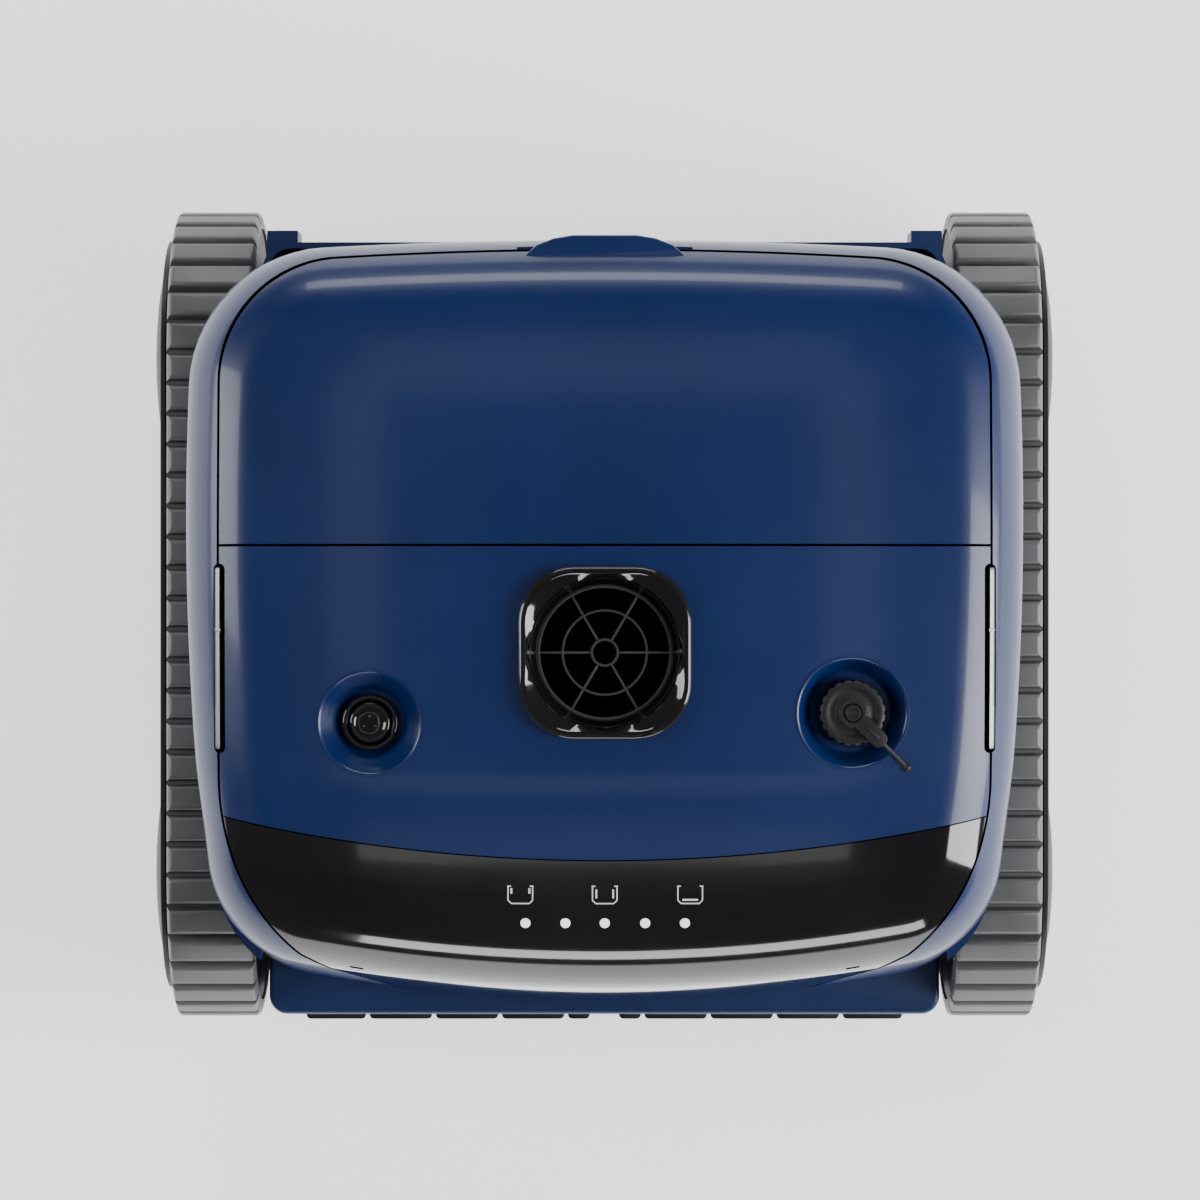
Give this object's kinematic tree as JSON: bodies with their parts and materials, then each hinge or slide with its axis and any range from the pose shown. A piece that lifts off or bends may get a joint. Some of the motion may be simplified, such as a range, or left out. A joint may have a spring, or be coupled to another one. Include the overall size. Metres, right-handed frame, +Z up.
{
  "type": "robotic pool cleaner",
  "caption": "Cordless robotic pool cleaner: a domed body between two crawler tracks, with an opening filter lid, top outlet, display visor and front brush rollers.",
  "frame": {"origin": "on the floor, midway between the four track wheels", "axes": "+X across the cleaner from its left to its right as seen from above with the front towards the viewer, +Y towards the rear and the filter lid, +Z up"},
  "size_m": [0.444, 0.4058, 0.248],
  "materials": {
    "shell_blue": "deep blue gloss",
    "chassis_blue": "deep blue satin",
    "visor_black": "piano black",
    "black_plastic": "fine grain",
    "cover_black": "fine grain",
    "grip_grey": "satin",
    "track_grey": "satin",
    "brush_rubber": "matt",
    "gear_white": "satin",
    "mesh_cloth": "woven",
    "steel": "brushed",
    "motor_metal": "cast",
    "board_green": "lacquered",
    "led_white": "frosted",
    "battery_wrap": "film",
    "basket_grey": "satin"
  },
  "bodies": {
    "chassis": {"chassis_tub": "chassis_blue", "bottom_plate": "cover_black", "mouth_surround": "cover_black", "housing_screws": "steel", "front_bumper": "chassis_blue", "upper_shell": "shell_blue", "front_deck": "shell_blue", "display_visor": "visor_black", "light_pipes": "led_white", "control_board": "board_green", "hinge_brackets": "black_plastic", "hinge_pins": "steel", "outlet_frame": "visor_black", "outlet_grille": "black_plastic", "pump_housing": "black_plastic", "outlet_duct": "black_plastic", "pump_motor": "motor_metal", "basket_well": "cover_black", "filter_basket": "basket_grey", "basket_sides": "basket_grey", "basket_mesh": "mesh_cloth", "battery_pack": "battery_wrap", "button_bezel": "visor_black", "charge_socket": "black_plastic", "cap_tether": "brush_rubber", "axles": "steel", "brush_hanger": "black_plastic", "vent_grip_right": "grip_grey", "track_belt_right": "track_grey", "track_frame_right": "black_plastic", "side_cover_right": "cover_black", "drive_motor_right": "motor_metal", "vent_grip_left": "grip_grey", "track_belt_left": "track_grey", "track_frame_left": "black_plastic", "side_cover_left": "cover_black", "drive_motor_left": "motor_metal"},
    "lid": {"lid": "shell_blue"},
    "propeller": {"propeller": "black_plastic"},
    "power_button": {"power_button": "visor_black"},
    "port_cap": {"port_cap": "black_plastic"},
    "basket_handle": {"basket_handle": "basket_grey"},
    "inlet_flap_front": {"inlet_flap_front": "brush_rubber"},
    "inlet_flap_rear": {"inlet_flap_rear": "brush_rubber"},
    "wheel_front_right": {"wheel_front_right": "black_plastic"},
    "wheel_rear_right": {"wheel_rear_right": "black_plastic"},
    "roller_front_right": {"roller_front_right": "black_plastic"},
    "roller_rear_right": {"roller_rear_right": "black_plastic"},
    "drive_pinion_right": {"drive_pinion_right": "gear_white"},
    "brush_idler_right": {"brush_idler_right": "gear_white"},
    "brush_right": {"brush_core_right": "black_plastic", "brush_sleeve_right": "brush_rubber"},
    "wheel_front_left": {"wheel_front_left": "black_plastic"},
    "wheel_rear_left": {"wheel_rear_left": "black_plastic"},
    "roller_front_left": {"roller_front_left": "black_plastic"},
    "roller_rear_left": {"roller_rear_left": "black_plastic"},
    "drive_pinion_left": {"drive_pinion_left": "gear_white"},
    "brush_idler_left": {"brush_idler_left": "gear_white"},
    "brush_left": {"brush_core_left": "black_plastic", "brush_sleeve_left": "brush_rubber"}
  },
  "joints": [
    {"name": "lid_hinge", "type": "hinge", "parent": "chassis", "child": "lid", "pos_m": [0, 0.0431, 0.233], "axis": [1, 0, 0], "range_deg": [0, 95]},
    {"name": "propeller_spin", "type": "hinge", "parent": "chassis", "child": "propeller", "pos_m": [0, -0.0174, 0.196], "axis": [0, 0, 1], "continuous": true},
    {"name": "power_button_press", "type": "slide", "parent": "chassis", "child": "power_button", "axis": [0, 0, -1], "range_m": [0, 0.0015], "stiffness_N_per_m": 800},
    {"name": "port_cap_turn", "type": "hinge", "parent": "chassis", "child": "port_cap", "pos_m": [0.115, -0.0454, 0.232], "axis": [0, 0, 1], "range_deg": [0, 90]},
    {"name": "basket_handle_swing", "type": "hinge", "parent": "chassis", "child": "basket_handle", "pos_m": [0, 0.11, 0.192], "axis": [-1, 0, 0], "range_deg": [0, 85]},
    {"name": "inlet_flap_front_swing", "type": "hinge", "parent": "chassis", "child": "inlet_flap_front", "pos_m": [0, 0.0705, 0.036], "axis": [1, 0, 0], "range_deg": [0, 60]},
    {"name": "inlet_flap_rear_swing", "type": "hinge", "parent": "chassis", "child": "inlet_flap_rear", "pos_m": [0, 0.1135, 0.036], "axis": [-1, 0, 0], "range_deg": [0, 60]},
    {"name": "wheel_front_right_spin", "type": "hinge", "parent": "chassis", "child": "wheel_front_right", "pos_m": [0.191, -0.126, 0.074], "axis": [1, 0, 0], "continuous": true},
    {"name": "wheel_rear_right_spin", "type": "hinge", "parent": "chassis", "child": "wheel_rear_right", "pos_m": [0.191, 0.126, 0.074], "axis": [1, 0, 0], "continuous": true},
    {"name": "roller_front_right_spin", "type": "hinge", "parent": "chassis", "child": "roller_front_right", "pos_m": [0.191, -0.03, 0.0203], "axis": [1, 0, 0], "continuous": true},
    {"name": "roller_rear_right_spin", "type": "hinge", "parent": "chassis", "child": "roller_rear_right", "pos_m": [0.191, 0.03, 0.0203], "axis": [1, 0, 0], "continuous": true},
    {"name": "drive_pinion_right_spin", "type": "hinge", "parent": "chassis", "child": "drive_pinion_right", "pos_m": [0.1675, -0.0805, 0.074], "axis": [1, 0, 0], "continuous": true},
    {"name": "brush_idler_right_spin", "type": "hinge", "parent": "chassis", "child": "brush_idler_right", "pos_m": [0.1675, -0.16125, 0.04485], "axis": [1, 0, 0], "continuous": true},
    {"name": "brush_right_spin", "type": "hinge", "parent": "chassis", "child": "brush_right", "pos_m": [0.08, -0.178, 0.031], "axis": [1, 0, 0], "continuous": true},
    {"name": "wheel_front_left_spin", "type": "hinge", "parent": "chassis", "child": "wheel_front_left", "pos_m": [-0.191, -0.126, 0.074], "axis": [1, 0, 0], "continuous": true},
    {"name": "wheel_rear_left_spin", "type": "hinge", "parent": "chassis", "child": "wheel_rear_left", "pos_m": [-0.191, 0.126, 0.074], "axis": [1, 0, 0], "continuous": true},
    {"name": "roller_front_left_spin", "type": "hinge", "parent": "chassis", "child": "roller_front_left", "pos_m": [-0.191, -0.03, 0.0203], "axis": [1, 0, 0], "continuous": true},
    {"name": "roller_rear_left_spin", "type": "hinge", "parent": "chassis", "child": "roller_rear_left", "pos_m": [-0.191, 0.03, 0.0203], "axis": [1, 0, 0], "continuous": true},
    {"name": "drive_pinion_left_spin", "type": "hinge", "parent": "chassis", "child": "drive_pinion_left", "pos_m": [-0.1675, -0.0805, 0.074], "axis": [1, 0, 0], "continuous": true},
    {"name": "brush_idler_left_spin", "type": "hinge", "parent": "chassis", "child": "brush_idler_left", "pos_m": [-0.1675, -0.16125, 0.04485], "axis": [1, 0, 0], "continuous": true},
    {"name": "brush_left_spin", "type": "hinge", "parent": "chassis", "child": "brush_left", "pos_m": [-0.08, -0.178, 0.031], "axis": [1, 0, 0], "continuous": true}
  ],
  "couplings": [
    {"joint": "wheel_rear_right_spin", "follows": "wheel_front_right_spin", "ratio": 1},
    {"joint": "roller_front_right_spin", "follows": "wheel_front_right_spin", "ratio": 5.5},
    {"joint": "roller_rear_right_spin", "follows": "wheel_front_right_spin", "ratio": 5.5},
    {"joint": "drive_pinion_right_spin", "follows": "wheel_front_right_spin", "ratio": -4},
    {"joint": "brush_idler_right_spin", "follows": "wheel_front_right_spin", "ratio": -3.6923},
    {"joint": "brush_right_spin", "follows": "wheel_front_right_spin", "ratio": 3},
    {"joint": "wheel_rear_left_spin", "follows": "wheel_front_left_spin", "ratio": 1},
    {"joint": "roller_front_left_spin", "follows": "wheel_front_left_spin", "ratio": 5.5},
    {"joint": "roller_rear_left_spin", "follows": "wheel_front_left_spin", "ratio": 5.5},
    {"joint": "drive_pinion_left_spin", "follows": "wheel_front_left_spin", "ratio": -4},
    {"joint": "brush_idler_left_spin", "follows": "wheel_front_left_spin", "ratio": -3.6923},
    {"joint": "brush_left_spin", "follows": "wheel_front_left_spin", "ratio": 3}
  ]
}
